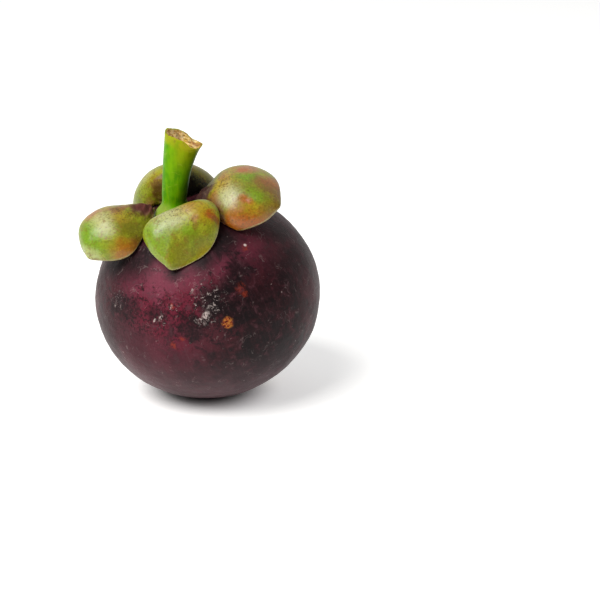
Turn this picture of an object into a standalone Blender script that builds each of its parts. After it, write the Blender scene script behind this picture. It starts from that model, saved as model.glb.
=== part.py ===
"""A whole ripe mangosteen: the rind, the stalk with its collar, four thick sepals and the corky stigma scar.

Metres, +Z up. The fruit rests on a small flat at z = 0, and the origin is the middle of that flat.
Every solid starts as a UV sphere, whose rings and columns a formula carries onto the surface of the piece.
"""

import bmesh
import bpy
import numpy as np

MM = 0.001
CLEARANCE = 0.3 * MM
SHARP_ANGLE = np.radians(40.0)
RIND_COLOUR = (0.075, 0.012, 0.022)
STALK_COLOUR = (0.17, 0.40, 0.02)
SEPAL_COLOUR = (0.33, 0.40, 0.06)
STIGMA_COLOUR = (0.16, 0.09, 0.045)
RIND_ROUGHNESS = 0.5
STALK_ROUGHNESS = 0.4
SEPAL_ROUGHNESS = 0.38
STIGMA_ROUGHNESS = 0.85

# Rind: an ellipsoid of revolution, leaning a little, dimpled at both ends
RIND_HALF_WIDTH = 30.0 * MM
RIND_HALF_HEIGHT = 27.0 * MM
RIND_CENTRE = np.array([0.7, 0.9, 26.4]) * MM
RIND_LEAN = np.radians(10.2)
RIND_LEANS_TOWARDS = np.radians(233.0)
RIND_COLUMNS = 60
RIND_RINGS = 38

# Calyx: where the stalk and the sepals stand, in a shallow dimple
CALYX_LEAN = np.radians(21.2)
CALYX_LEANS_TOWARDS = np.radians(208.8)
CALYX_DIMPLE_DEPTH = 1.6 * MM
CALYX_DIMPLE_SPREAD = 0.36

# Stigma scar: the rosette left at the blossom end, low on the side away from the calyx
STIGMA_FROM_BOTTOM = np.radians(31.0)
STIGMA_TOWARDS = np.radians(23.2)
STIGMA_DIMPLE_DEPTH = 0.4 * MM
STIGMA_DIMPLE_SPREAD = 0.26
STIGMA_RADIUS = 5.4 * MM
STIGMA_THICKNESS = 0.9 * MM
STIGMA_EDGE_THICKNESS = 0.6 * MM
STIGMA_LOBES = 6
STIGMA_NOTCH = 0.16
STIGMA_NOTCH_SHARPNESS = 1.5
STIGMA_TOP_SHARE = 0.6
STIGMA_RIM_SHARE = 0.1
STIGMA_COLUMNS = 36
STIGMA_RINGS = 10

# Stalk: a round, slightly curved stem on a low collar, widening to a slanting cut
STALK_LENGTH = 19.9 * MM
STALK_NECK_RADIUS = 3.15 * MM
STALK_TOP_RADIUS = 4.9 * MM
STALK_FLARE_POWER = 1.7
COLLAR_RADIUS = 5.5 * MM
COLLAR_HEIGHT = 2.6 * MM
COLLAR_STEEPNESS = 3.0
STALK_LEAN_RIGHT = 0.04
STALK_BEND_RIGHT = 0.00565 / MM
STALK_LEAN_BACK = -0.03
STALK_CUT_SLOPE = 0.36
STALK_CUT_FORWARD = 0.135
STALK_CUT_HOLLOW = 0.7 * MM
STALK_SLOPE_STARTS = 0.55
STALK_TURN_HEIGHT = 6.0 * MM
STALK_SOFT_CONTACT = 0.2 * MM
STALK_BASE_SHARE = 0.15
STALK_CAP_SHARE = 0.15
STALK_RING_CROWDING = 1.35
STALK_COLUMNS = 24
STALK_RINGS = 20

# Sepals: thick shells like upturned spoon bowls, rim down, standing round the collar.
# compass is where a sepal stands round the calyx and twist how far it then turns. rise lifts its tip and
# roll tips it over sideways. reach is from the calyx's middle to the near end of the bowl, and seat is that
# end's height. droop bends the tip down and curl both sides. neck and point draw out the two ends, and egg
# widens the outer half.
SEPAL_RIM_THICKNESS = 1.3 * MM
SEPAL_CROWN_THICKNESS = 3.0 * MM
SEPAL_PLAN_ROUNDNESS = 2.3
SEPAL_CROWN_ROUNDNESS = 1.75
SEPAL_CREST = 0.45
SEPAL_POINT_SPREAD = 0.40
SEPAL_NECK_SPREAD = 0.45
SEPAL_SOFT_CONTACT = 0.8 * MM
OUTER_SHARE = 0.55
RIM_SHARE = 0.10
SEPAL_COLUMNS = 32
SEPAL_RINGS = 20
SEPALS = {
    "sepal_front": dict(
        compass=np.radians(-75.4), twist=np.radians(0.8), rise=np.radians(-11.1), roll=np.radians(-0.6),
        reach=5.78 * MM, seat=-0.22 * MM, length=14.62 * MM, width=20.19 * MM,
        height=7.86 * MM, droop=2.96 * MM, curl=-3.45 * MM, point=2.32 * MM,
        point_turn=np.radians(-34.0), neck=0.0 * MM, egg=-0.07,
    ),
    "sepal_right": dict(
        compass=np.radians(-4.6), twist=np.radians(1.7), rise=np.radians(22.3), roll=np.radians(17.4),
        reach=10.15 * MM, seat=-4.3 * MM, length=18.08 * MM, width=22.18 * MM,
        height=7.81 * MM, droop=3.86 * MM, curl=-0.4 * MM, point=1.39 * MM,
        point_turn=np.radians(-38.0), neck=6.0 * MM, egg=0.01,
    ),
    "sepal_back": dict(
        compass=np.radians(96.3), twist=np.radians(-1.7), rise=np.radians(16.5), roll=np.radians(3.9),
        reach=5.91 * MM, seat=0.03 * MM, length=19.56 * MM, width=23.28 * MM,
        height=7.82 * MM, droop=10.0 * MM, curl=3.51 * MM, point=0.57 * MM,
        point_turn=np.radians(0.0), neck=0.1 * MM, egg=0.13,
    ),
    "sepal_left": dict(
        compass=np.radians(190.8), twist=np.radians(3.9), rise=np.radians(-13.1), roll=np.radians(-3.4),
        reach=7.97 * MM, seat=0.96 * MM, length=16.66 * MM, width=20.76 * MM,
        height=8.05 * MM, droop=-4.22 * MM, curl=1.47 * MM, point=1.38 * MM,
        point_turn=np.radians(33.0), neck=3.0 * MM, egg=0.07,
    ),
}


def direction(tilt, towards, upward=1.0):
    """A unit vector leaning by the angle `tilt` from straight up (or down) towards a compass angle."""
    aside = np.sin(tilt)
    return np.array([aside * np.cos(towards), aside * np.sin(towards), upward * np.cos(tilt)])


RIND_AXIS = direction(RIND_LEAN, RIND_LEANS_TOWARDS)
CALYX_UP = direction(CALYX_LEAN, CALYX_LEANS_TOWARDS)
STIGMA_OUT = direction(STIGMA_FROM_BOTTOM, STIGMA_TOWARDS, -1.0)


def rind_radius(d):
    """From the rind's centre to its skin along unit vectors d: an ellipsoid less two soft dimples."""
    along = d @ RIND_AXIS
    radius = 1.0 / np.sqrt((1.0 - along**2) / RIND_HALF_WIDTH**2 + along**2 / RIND_HALF_HEIGHT**2)
    for middle, depth, spread in (
        (CALYX_UP, CALYX_DIMPLE_DEPTH, CALYX_DIMPLE_SPREAD),
        (STIGMA_OUT, STIGMA_DIMPLE_DEPTH, STIGMA_DIMPLE_SPREAD),
    ):
        away = np.arccos(np.clip(d @ middle, -1.0, 1.0))
        radius = radius - depth * np.exp(-((away / spread) ** 2))
    return radius


def split_from_rind(points):
    """The unit vectors from the rind's centre to the points, and the points' heights over the skin."""
    arms = points - RIND_CENTRE
    reach = np.linalg.norm(arms, axis=-1)
    d = arms / reach[..., None]
    return d, reach - rind_radius(d)


def over_rind(d, height):
    """The points at the given heights over the skin along unit vectors d."""
    return RIND_CENTRE + d * (rind_radius(d) + height)[..., None]


def lifted_clear(points, softness):
    """Points kept off the rind: a height h over it becomes CLEARANCE + s ln(1 + e^((h - CLEARANCE) / s))."""
    d, height = split_from_rind(points)
    return over_rind(d, CLEARANCE + softness * np.logaddexp(0.0, (height - CLEARANCE) / softness))


def square_to(up):
    """Two unit vectors square to `up` and to each other, the first as near to +X as it can be."""
    right = np.array([1.0, 0.0, 0.0]) - up * up[0]
    right = right / np.linalg.norm(right)
    return right, np.cross(up, right)


CALYX_RIGHT, CALYX_BACK = square_to(CALYX_UP)
CALYX_SEAT = over_rind(CALYX_UP, np.array(0.0))


def rind_points(t, angle):
    """The rind: t runs from the calyx to the far pole as an even angle, and the other angle runs round."""
    polar = np.pi * t
    round_about = np.cos(angle)[:, None] * CALYX_RIGHT + np.sin(angle)[:, None] * CALYX_BACK
    d = np.sin(polar)[:, None] * round_about + np.cos(polar)[:, None] * CALYX_UP
    return over_rind(d, np.zeros_like(t))


def turned(points, rise, roll, twist):
    """Points turned about X by roll, then by rise so that +X lifts, then about Z by twist."""
    x, y, z = points.T
    y, z = y * np.cos(roll) - z * np.sin(roll), y * np.sin(roll) + z * np.cos(roll)
    x, z = x * np.cos(rise) - z * np.sin(rise), x * np.sin(rise) + z * np.cos(rise)
    x, y = x * np.cos(twist) - y * np.sin(twist), x * np.sin(twist) + y * np.cos(twist)
    return np.stack([x, y, z], axis=-1)


def bump(angle, middle, spread):
    """1 where the angle meets the middle, falling off on both sides as a bell."""
    away = (angle - middle + np.pi) % (2.0 * np.pi) - np.pi
    return np.exp(-((away / spread) ** 2))


def sepal_points(sepal, t, angle):
    """A bowl, rim down. The plan is an egg round the crest with a point at the tip and a neck at the root.
    In each direction the outer wall is a quarter superellipse from the crest to the rim, a half circle turns
    under the rim, and a smaller quarter superellipse runs back up inside."""
    length = sepal["length"]
    width = sepal["width"]
    point = sepal["point"] * bump(angle, sepal["point_turn"], SEPAL_POINT_SPREAD)
    ahead = np.cos(angle) * length * (0.5 + (0.5 - SEPAL_CREST) * np.cos(angle))
    aside = 0.5 * width * np.sin(angle) * (1.0 + sepal["egg"] * np.cos(angle))
    plan = np.hypot(ahead, aside)

    outer = np.clip(t / OUTER_SHARE, 0.0, 1.0) * np.pi / 2
    under = np.clip((t - OUTER_SHARE) / RIM_SHARE, 0.0, 1.0) * np.pi
    inner = np.clip((1.0 - t) / (1.0 - OUTER_SHARE - RIM_SHARE), 0.0, 1.0) * np.pi / 2
    is_inner = t > OUTER_SHARE + RIM_SHARE - 1e-6
    wall = np.where(is_inner, inner, outer)
    spread = np.sin(wall) ** (2.0 / SEPAL_PLAN_ROUNDNESS)
    crown = sepal["height"] - np.where(is_inner, SEPAL_CROWN_THICKNESS, 0.0)
    rise = crown * np.abs(np.cos(wall)) ** (2.0 / SEPAL_CROWN_ROUNDNESS)
    inward = 0.5 * SEPAL_RIM_THICKNESS * (1.0 - np.cos(under))
    spread = spread * (1.0 - inward / plan)
    rise = rise - 0.5 * SEPAL_RIM_THICKNESS * np.sin(under)

    tip = point * spread**4
    root = sepal["neck"] * bump(angle, np.pi, SEPAL_NECK_SPREAD) * spread**2
    x = SEPAL_CREST * length + spread * ahead + tip * np.cos(sepal["point_turn"]) - root
    y = spread * aside + tip * np.sin(sepal["point_turn"])
    droop = sepal["droop"] * (np.clip(x, 0.0, None) / length) ** 2
    z = rise - droop - sepal["curl"] * (2.0 * y / width) ** 2
    local = turned(np.stack([x, y, z], axis=-1), sepal["rise"], sepal["roll"], sepal["twist"])
    local = local + np.array([sepal["reach"], 0.0, sepal["seat"]])
    local = turned(local, 0.0, 0.0, sepal["compass"])
    points = CALYX_SEAT + local[:, :1] * CALYX_RIGHT + local[:, 1:2] * CALYX_BACK + local[:, 2:] * CALYX_UP
    return lifted_clear(points, SEPAL_SOFT_CONTACT)


def stalk_points(t, angle):
    """Rings along a path that starts at the calyx and bends to the right, with t from the cut to the foot.
    The lowest lie square to the calyx and turn level over STALK_TURN_HEIGHT. The topmost tip to the cut."""
    cap = np.clip(t / STALK_CAP_SHARE, 0.0, 1.0)
    side = np.clip((1.0 - t - STALK_BASE_SHARE) / (1.0 - STALK_BASE_SHARE - STALK_CAP_SHARE), 0.0, 1.0)
    base = np.clip((1.0 - t) / STALK_BASE_SHARE, 0.0, 1.0)
    height = STALK_LENGTH * side**STALK_RING_CROWDING
    along = height / STALK_LENGTH
    radius = STALK_NECK_RADIUS + (STALK_TOP_RADIUS - STALK_NECK_RADIUS) * along**STALK_FLARE_POWER
    collar = np.exp(-((height / COLLAR_HEIGHT) ** COLLAR_STEEPNESS))
    radius = radius + (COLLAR_RADIUS - STALK_NECK_RADIUS) * collar
    radius = radius * base * cap
    level = np.clip(height / STALK_TURN_HEIGHT, 0.0, 1.0)
    level = level * level * (3.0 - 2.0 * level)
    up = CALYX_UP * (1.0 - level)[:, None] + np.array([0.0, 0.0, 1.0]) * level[:, None]
    up = up / np.linalg.norm(up, axis=-1, keepdims=True)
    right = np.array([1.0, 0.0, 0.0]) - up * up[:, :1]
    right = right / np.linalg.norm(right, axis=-1, keepdims=True)
    back = np.cross(up, right)
    x = radius * np.cos(angle)
    y = radius * np.sin(angle)
    slope = np.clip((along - STALK_SLOPE_STARTS) / (1.0 - STALK_SLOPE_STARTS), 0.0, 1.0) ** 2
    drop = slope * (STALK_CUT_FORWARD * y - STALK_CUT_SLOPE * x) - STALK_CUT_HOLLOW * (1.0 - cap**2)
    lean = np.array([STALK_LEAN_RIGHT, STALK_LEAN_BACK, 1.0])
    path = CALYX_SEAT + CALYX_UP * CLEARANCE + height[:, None] * lean
    path[:, 0] += STALK_BEND_RIGHT * height**2
    points = path + x[:, None] * right + y[:, None] * back
    points[:, 2] += drop
    return lifted_clear(points, STALK_SOFT_CONTACT)


def stigma_points(t, angle):
    """A thin plate with notched round lobes that follows the rind: its top from the middle to the rim, then
    its underside back to the middle."""
    right, back = square_to(STIGMA_OUT)
    lobe = np.abs(np.cos(0.5 * STIGMA_LOBES * angle))
    plan = STIGMA_RADIUS * (1.0 - STIGMA_NOTCH * (1.0 - lobe) ** STIGMA_NOTCH_SHARPNESS)
    top = np.clip(t / STIGMA_TOP_SHARE, 0.0, 1.0)
    under = np.clip((1.0 - t) / (1.0 - STIGMA_TOP_SHARE - STIGMA_RIM_SHARE), 0.0, 1.0)
    spread = plan * np.minimum(top, under)
    arms = STIGMA_OUT * RIND_HALF_HEIGHT + spread[:, None] * (
        np.cos(angle)[:, None] * right + np.sin(angle)[:, None] * back
    )
    d = arms / np.linalg.norm(arms, axis=-1, keepdims=True)
    thickness = STIGMA_THICKNESS + (STIGMA_EDGE_THICKNESS - STIGMA_THICKNESS) * top**2
    is_under = t > STIGMA_TOP_SHARE + 1e-6
    return over_rind(d, CLEARANCE + np.where(is_under, 0.0, thickness))


def reshaped_sphere(name, columns, rings, place, colour, roughness):
    """A new object: a UV sphere whose points are carried to place(t, angle), with t from 0 at its top pole
    to 1 at its bottom pole and the angle round it."""
    mesh = bpy.data.meshes.new(name)
    bm = bmesh.new()
    bmesh.ops.create_uvsphere(bm, u_segments=columns, v_segments=rings, radius=1.0)
    bm.to_mesh(mesh)
    bm.free()
    ball = np.empty(len(mesh.vertices) * 3)
    mesh.vertices.foreach_get("co", ball)
    x, y, z = ball.reshape(-1, 3).T
    t = np.round(np.arccos(np.clip(z, -1.0, 1.0)) / np.pi * rings) / rings
    step = 2.0 * np.pi / columns
    angle = np.round(np.arctan2(y, x) / step) * step
    mesh.vertices.foreach_set("co", place(t, angle).ravel())
    mesh.update()
    material = bpy.data.materials.new(name)
    material.use_nodes = True
    shader = material.node_tree.nodes["Principled BSDF"]
    shader.inputs["Base Color"].default_value = (*colour, 1.0)
    shader.inputs["Roughness"].default_value = roughness
    shader.inputs["Metallic"].default_value = 0.0
    mesh.materials.append(material)
    mesh.shade_smooth()
    solid = bpy.data.objects.new(name, mesh)
    bpy.context.scene.collection.objects.link(solid)
    return solid


def cut_level(solid):
    """Cuts off what lies under z = 0 and closes the cut with one flat face, the spot the fruit rests on."""
    bm = bmesh.new()
    bm.from_mesh(solid.data)
    everything = bm.verts[:] + bm.edges[:] + bm.faces[:]
    bmesh.ops.bisect_plane(
        bm, geom=everything, dist=1e-7, plane_co=(0, 0, 0), plane_no=(0, 0, -1), clear_outer=True
    )
    rim = [edge for edge in bm.edges if edge.is_boundary]
    bmesh.ops.contextual_create(bm, geom=rim)
    bmesh.ops.recalc_face_normals(bm, faces=bm.faces[:])
    bm.to_mesh(solid.data)
    bm.free()
    solid.data.set_sharp_from_angle(angle=SHARP_ANGLE)


for old in list(bpy.data.objects):
    bpy.data.objects.remove(old, do_unlink=True)

rind = reshaped_sphere("rind", RIND_COLUMNS, RIND_RINGS, rind_points, RIND_COLOUR, RIND_ROUGHNESS)
cut_level(rind)
reshaped_sphere("stalk", STALK_COLUMNS, STALK_RINGS, stalk_points, STALK_COLOUR, STALK_ROUGHNESS)
reshaped_sphere("stigma", STIGMA_COLUMNS, STIGMA_RINGS, stigma_points, STIGMA_COLOUR, STIGMA_ROUGHNESS)
for sepal_name, sepal in SEPALS.items():
    reshaped_sphere(
        sepal_name,
        SEPAL_COLUMNS,
        SEPAL_RINGS,
        lambda t, angle: sepal_points(sepal, t, angle),
        SEPAL_COLOUR,
        SEPAL_ROUGHNESS,
    )
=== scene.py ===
"""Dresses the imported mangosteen: fine skins over its solids with their finishes, and a small white studio."""

import bpy
import numpy as np
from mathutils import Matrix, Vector


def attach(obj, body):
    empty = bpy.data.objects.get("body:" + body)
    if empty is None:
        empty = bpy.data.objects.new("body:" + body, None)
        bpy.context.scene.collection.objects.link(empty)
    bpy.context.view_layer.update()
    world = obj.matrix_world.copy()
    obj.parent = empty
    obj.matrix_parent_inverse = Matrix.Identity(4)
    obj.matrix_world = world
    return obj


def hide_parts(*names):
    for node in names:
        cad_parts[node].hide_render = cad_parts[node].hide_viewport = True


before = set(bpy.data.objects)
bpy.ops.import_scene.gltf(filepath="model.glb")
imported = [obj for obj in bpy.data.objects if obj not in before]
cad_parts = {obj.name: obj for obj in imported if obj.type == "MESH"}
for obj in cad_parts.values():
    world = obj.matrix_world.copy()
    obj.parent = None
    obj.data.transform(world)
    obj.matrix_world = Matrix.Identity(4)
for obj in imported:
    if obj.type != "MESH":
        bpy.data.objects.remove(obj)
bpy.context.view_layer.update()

# Studio. The fruit stands on a white light table that glows all round it as painted light, and fades out under
# it to leave a painted shadow. It is clear from below. A big soft box lights it from the front left. The room
# is white behind and dim in front, and a long lens looks down.
MM = 0.001
CARD_HALF_WIDTH = 2.5
CARD_DROP = 0.02 * MM
CARD_WHITE = (0.86, 0.86, 0.85)
CARD_SHADE = (0.83, 0.83, 0.82)
CARD_GLOW = 0.5
CARD_GLOW_FROM = 8.0 * MM
CARD_GLOW_FULL = 21.0 * MM
CARD_TOOTH = 1.5 * MM
CAMERA_PLACE = (25.12 * MM, -418.48 * MM, 169.14 * MM)
CAMERA_TILT = np.radians(71.0)
CAMERA_LENS_MM = 100.0
ROOM_FRONT = 0.08
ROOM_BACK = 0.75
ROOM_DIM_UP_TO = -0.3
ROOM_BRIGHT_FROM = 0.7
WHITE = (1.0, 1.0, 1.0, 1.0)
BLACK = (0.0, 0.0, 0.0, 1.0)
SOFT_BOX_AIM = np.array([0.0, 0.0, 30.0]) * MM


def fill(tree, made, inputs):
    """Gives each input of a node, by name or number, a plain value or the socket of another node."""
    for name, value in inputs.items():
        if isinstance(value, bpy.types.NodeSocket):
            tree.links.new(value, made.inputs[name])
        else:
            made.inputs[name].default_value = value


def node(tree, kind, inputs=None, **settings):
    """Adds a shader node with these inputs and settings."""
    made = tree.nodes.new("ShaderNode" + kind)
    for name, value in settings.items():
        setattr(made, name, value)
    fill(tree, made, inputs or {})
    return made


def noise(tree, where, size, detail=2.0, roughness=0.5, distortion=0.0):
    """A cloudy value near 0.5, with clouds about `size` across in the units of `where`."""
    inputs = {"Vector": where, "Scale": 1.0 / size, "Detail": detail, "Roughness": roughness}
    return node(tree, "TexNoise", {**inputs, "Distortion": distortion}).outputs["Fac"]


def layer(tree, share, under, over):
    """Colour `over` laid on colour `under` by the share, from 0 to 1."""
    return node(tree, "Mix", {0: share, 6: under, 7: over}, data_type="RGBA").outputs[2]


def sums(tree, operation, a, b):
    """One Math node: the operation on a and b."""
    return node(tree, "Math", {0: a, 1: b}, operation=operation).outputs[0]


def rgb(red, green, blue):
    """A full colour from three parts of linear light, from 0 to 1."""
    return (red, green, blue, 1.0)


def placed(name, data):
    """A new object in the scene that holds this mesh, lamp or camera."""
    made = bpy.data.objects.new(name, data)
    bpy.context.scene.collection.objects.link(made)
    return made


def finish_tree(name):
    """A new material, its node tree, its Principled BSDF and its Object coordinates."""
    material = bpy.data.materials.new(name)
    material.use_nodes = True
    tree = material.node_tree
    where = node(tree, "TexCoord").outputs["Object"]
    return material, tree, tree.nodes["Principled BSDF"], where


card_mesh = bpy.data.meshes.new("white_card")
card_corners = np.array([[-1, -1, 0], [1, -1, 0], [1, 1, 0], [-1, 1, 0]]) * CARD_HALF_WIDTH
card_corners = card_corners - np.array([0.0, 0.0, CARD_DROP])
card_mesh.from_pydata(card_corners.tolist(), [], [(0, 1, 2, 3)])
card = placed("white_card", card_mesh)
card_finish, tree, shader, where = finish_tree("white_card")
tooth = noise(tree, where, CARD_TOOTH)
tree.links.new(layer(tree, tooth, rgb(*CARD_SHADE), rgb(*CARD_WHITE)), shader.inputs["Base Color"])
# Painted light: the card glows, and its glow fades out near the fruit as a painted shadow.
away = node(tree, "VectorMath", {0: where}, operation="LENGTH").outputs["Value"]
glow_round_shadow = {"Value": away, "From Min": CARD_GLOW_FROM, "From Max": CARD_GLOW_FULL, "To Max": 1.0}
glow_round_shadow = node(tree, "MapRange", glow_round_shadow, interpolation_type="SMOOTHSTEP").outputs["Result"]
tree.links.new(layer(tree, glow_round_shadow, BLACK, WHITE), shader.inputs["Emission Color"])
shader.inputs["Emission Strength"].default_value = CARD_GLOW
from_below = node(tree, "NewGeometry").outputs["Backfacing"]
tree.links.new(sums(tree, "SUBTRACT", 1.0, from_below), shader.inputs["Alpha"])
shader.inputs["Roughness"].default_value = 0.9
shader.inputs["Specular IOR Level"].default_value = 0.1
card_mesh.materials.append(card_finish)

room = bpy.data.worlds.new("white_room")
room.use_nodes = True
bpy.context.scene.world = room
sky = room.node_tree
facing = node(sky, "SeparateXYZ", {0: node(sky, "TexCoord").outputs["Generated"]}).outputs["Y"]
sweep = {"Value": facing, "From Min": ROOM_DIM_UP_TO, "From Max": ROOM_BRIGHT_FROM}
sweep = node(sky, "MapRange", {**sweep, "To Min": ROOM_FRONT, "To Max": ROOM_BACK}).outputs["Result"]
sight = {0: node(sky, "LightPath").outputs["Is Camera Ray"], 2: sweep, 3: 1.0}
glow = node(sky, "Mix", sight).outputs[0]
sky.links.new(glow, sky.nodes["Background"].inputs["Strength"])
sky.nodes["Background"].inputs["Color"].default_value = WHITE


def direction(tilt, towards, upward=1.0):
    """The unit vector that leans by `tilt` from straight up, or down at upward=-1, towards an angle."""
    aside = np.sin(tilt)
    return np.array([aside * np.cos(towards), aside * np.sin(towards), upward * np.cos(tilt)])


def soft_box(name, width, height, watts, compass, height_angle, distance, tint):
    """A flat rectangular lamp, placed by compass and height as seen from the fruit, that faces the fruit."""
    lamp = bpy.data.lights.new(name, "AREA")
    lamp.shape = "RECTANGLE"
    lamp.size = width
    lamp.size_y = height
    lamp.energy = watts
    lamp.color = tint
    holder = placed(name, lamp)
    out = direction(np.radians(90.0 - height_angle), np.radians(compass))
    holder.location = SOFT_BOX_AIM + out * distance
    holder.rotation_mode = "QUATERNION"
    holder.rotation_quaternion = Vector(out).to_track_quat("Z", "Y")


soft_box(
    "key_soft_box", width=0.60, height=0.60, watts=10.0, compass=-138.0, height_angle=52.0, distance=0.9,
    tint=(1.0, 0.99, 0.97),
)

view = placed("camera", bpy.data.cameras.new("camera"))
view.location = CAMERA_PLACE
view.rotation_euler = (CAMERA_TILT, 0.0, 0.0)
view.data.lens = CAMERA_LENS_MM
bpy.context.scene.camera = view
bpy.context.scene.view_settings.view_transform = "Standard"

# Rind. A ripe mangosteen's is one hard dark purple shell, about a centimetre thick, round and a little flat,
# that grows round the pulp. Its satin skin has a grey bloom low down, partly painted reflection of the white
# floor, wine-red patches where it is less ripe, and dry corky scabs and scratches. Painted shade darkens it
# under the sepals and low at the right. It stands on a small flat spot.
CLEARANCE = 0.3 * MM
RIND_HALF_WIDTH = 30.0 * MM
RIND_HALF_HEIGHT = 27.0 * MM
RIND_CENTRE = np.array([0.7, 0.9, 26.4]) * MM
RIND_AXIS = direction(np.radians(10.2), np.radians(233.0))
CALYX_UP = direction(np.radians(21.2), np.radians(208.8))
CALYX_DIMPLE_DEPTH = 1.6 * MM
CALYX_DIMPLE_SPREAD = 0.36
STIGMA_OUT = direction(np.radians(31.0), np.radians(23.2), -1.0)
STIGMA_DIMPLE_DEPTH = 0.4 * MM
STIGMA_DIMPLE_SPREAD = 0.26
LUMP_SIZE = 11.0 * MM
LUMP_HEIGHT = 0.07 * MM
LUMP_SINK = 2.6
PIMPLE_SIZE = 2.6 * MM
PIMPLE_HEIGHT = 0.02 * MM
CRUMB_SIZE = 0.9 * MM
CRUMB_SHARE = 0.5
SWELL_WAVES = 24
STRAND_SHORTENING = 0.12
HAIR_GAP_OFFSET = (0.37, 0.11, 0.53)
HAIR_GAP_SCALE = 1.3
HAIR_GAP_EDGE = 0.06


def rind_radius(d):
    """From the rind's centre to its skin along unit vectors d: an ellipsoid less two soft dimples."""
    along = d @ RIND_AXIS
    radius = 1.0 / np.sqrt((1.0 - along**2) / RIND_HALF_WIDTH**2 + along**2 / RIND_HALF_HEIGHT**2)
    for middle, depth, spread in (
        (CALYX_UP, CALYX_DIMPLE_DEPTH, CALYX_DIMPLE_SPREAD),
        (STIGMA_OUT, STIGMA_DIMPLE_DEPTH, STIGMA_DIMPLE_SPREAD),
    ):
        away = np.arccos(np.clip(d @ middle, -1.0, 1.0))
        radius = radius - depth * np.exp(-((away / spread) ** 2))
    return radius


def over_rind(d, height):
    """The points at the given heights over the skin along unit vectors d."""
    return RIND_CENTRE + d * (rind_radius(d) + height)[..., None]


def lifted_clear(points, softness):
    """Points kept off the rind: a height h over it becomes CLEARANCE + s ln(1 + e^((h - CLEARANCE) / s))."""
    arms = points - RIND_CENTRE
    reach = np.linalg.norm(arms, axis=-1)
    d = arms / reach[..., None]
    height = reach - rind_radius(d)
    return over_rind(d, CLEARANCE + softness * np.logaddexp(0.0, (height - CLEARANCE) / softness))


def unit(vectors):
    """The vectors, each divided by its length."""
    return vectors / np.linalg.norm(vectors, axis=-1, keepdims=True)


def square_to(up):
    """Two unit vectors square to `up` and to each other, the first as near to +X as it can be."""
    right = unit(np.array([1.0, 0.0, 0.0]) - up * up[..., :1])
    return right, np.cross(up, right)


CALYX_RIGHT, CALYX_BACK = square_to(CALYX_UP)
CALYX_SEAT = over_rind(CALYX_UP, np.array(0.0))


def swell(points, wavelength, seed):
    """Smooth lumps, mostly from -1 to 1: sine waves of about one wavelength, in random ways, added up and
    divided by the root of how many there are."""
    chance = np.random.default_rng(seed)
    way = unit(chance.normal(size=(SWELL_WAVES, 3)))
    length = wavelength * chance.uniform(0.7, 1.4, SWELL_WAVES)
    phase = chance.uniform(0.0, 2.0 * np.pi, SWELL_WAVES)
    waves = np.sin(2.0 * np.pi * points @ (way / length[:, None]).T + phase)
    return waves.sum(axis=1) / np.sqrt(SWELL_WAVES)


def rind_spot(compass, height):
    """The point of the skin that the rind's centre sees at a compass angle and a height, in degrees."""
    return over_rind(direction(np.radians(90.0 - height), np.radians(compass)), np.array(0.0))


SCAB = rind_spot(-77.4, 4.4)
SCRAPE = rind_spot(-86.5, 14.5)
BRUISE = rind_spot(-69.0, 30.0)
PIT = rind_spot(-139.0, 7.5)
BLISTER = rind_spot(-59.5, 42.6)
SHOULDER_RIGHT = rind_spot(106.0, 71.3)
SHOULDER_LEFT = rind_spot(158.0, 55.2)
RIND_RELIEF = (
    (SCAB, 1.1 * MM, 0.30 * MM),
    (SCRAPE, 1.6 * MM, -0.14 * MM),
    (BRUISE, 2.8 * MM, -0.20 * MM),
    (PIT, 1.6 * MM, -0.16 * MM),
    (BLISTER, 0.45 * MM, 0.25 * MM),
    (SHOULDER_RIGHT, 2.4 * MM, 0.25 * MM),
    (SHOULDER_LEFT, 2.0 * MM, 0.25 * MM),
)


def rind_points(t, angle):
    """The skin along rays that lean by pi times t from the calyx's axis and turn round it by the angle. It
    has soft lumps and finer pimples. Each place of RIND_RELIEF stands up or sinks in as a crumbly bell of a
    width and a height, and the underside is cut level."""
    polar = np.pi * t
    round_about = np.cos(angle)[:, None] * CALYX_RIGHT + np.sin(angle)[:, None] * CALYX_BACK
    d = np.sin(polar)[:, None] * round_about + np.cos(polar)[:, None] * CALYX_UP
    smooth = over_rind(d, np.zeros_like(t))
    relief = LUMP_HEIGHT * (swell(smooth, LUMP_SIZE, 1) - LUMP_SINK)
    relief = relief + PIMPLE_HEIGHT * swell(smooth, PIMPLE_SIZE, 2)
    crumbly = 1.0 + CRUMB_SHARE * swell(smooth, CRUMB_SIZE, 3)
    for spot, width, height in RIND_RELIEF:
        away = np.linalg.norm(smooth - spot, axis=1)
        relief = relief + height * np.exp(-((away / width) ** 2)) * crumbly
    points = over_rind(d, relief)
    points[:, 2] = np.maximum(points[:, 2], 0.0)
    return points


def skin(name, place, columns, rings, notes=None):
    """A closed skin over the whole of place(t, angle): rings of quads from pole to pole, and a fan of
    triangles at each. notes(t, angle) gives a vector to keep at each point, under the name `place`."""
    t = np.concatenate([[0.0], np.repeat(np.arange(1, rings) / rings, columns), [1.0]])
    angle = np.concatenate([[0.0], np.tile(np.arange(columns) * 2.0 * np.pi / columns, rings - 1), [0.0]])
    here = 1 + np.arange((rings - 2) * columns)
    after = here + 1 - columns * (here % columns == 0)
    quads = np.stack([here, here + columns, after + columns, after], axis=1)
    ring = 1 + np.arange(columns)
    beside = np.roll(ring, -1)
    last = 1 + (rings - 1) * columns
    top = np.stack([np.zeros_like(ring), ring, beside], axis=1)
    to_last = last - 1 - columns
    bottom = np.stack([np.full_like(ring, last), beside + to_last, ring + to_last], axis=1)
    mesh = bpy.data.meshes.new(name)
    faces = quads.tolist() + top.tolist() + bottom.tolist()
    mesh.from_pydata(place(t, angle).tolist(), [], faces)
    if notes is not None:
        kept = mesh.attributes.new("place", "FLOAT_VECTOR", "POINT")
        kept.data.foreach_set("vector", notes(t, angle).astype(np.float32).ravel())
    mesh.shade_smooth()
    return placed(name, mesh)


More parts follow.
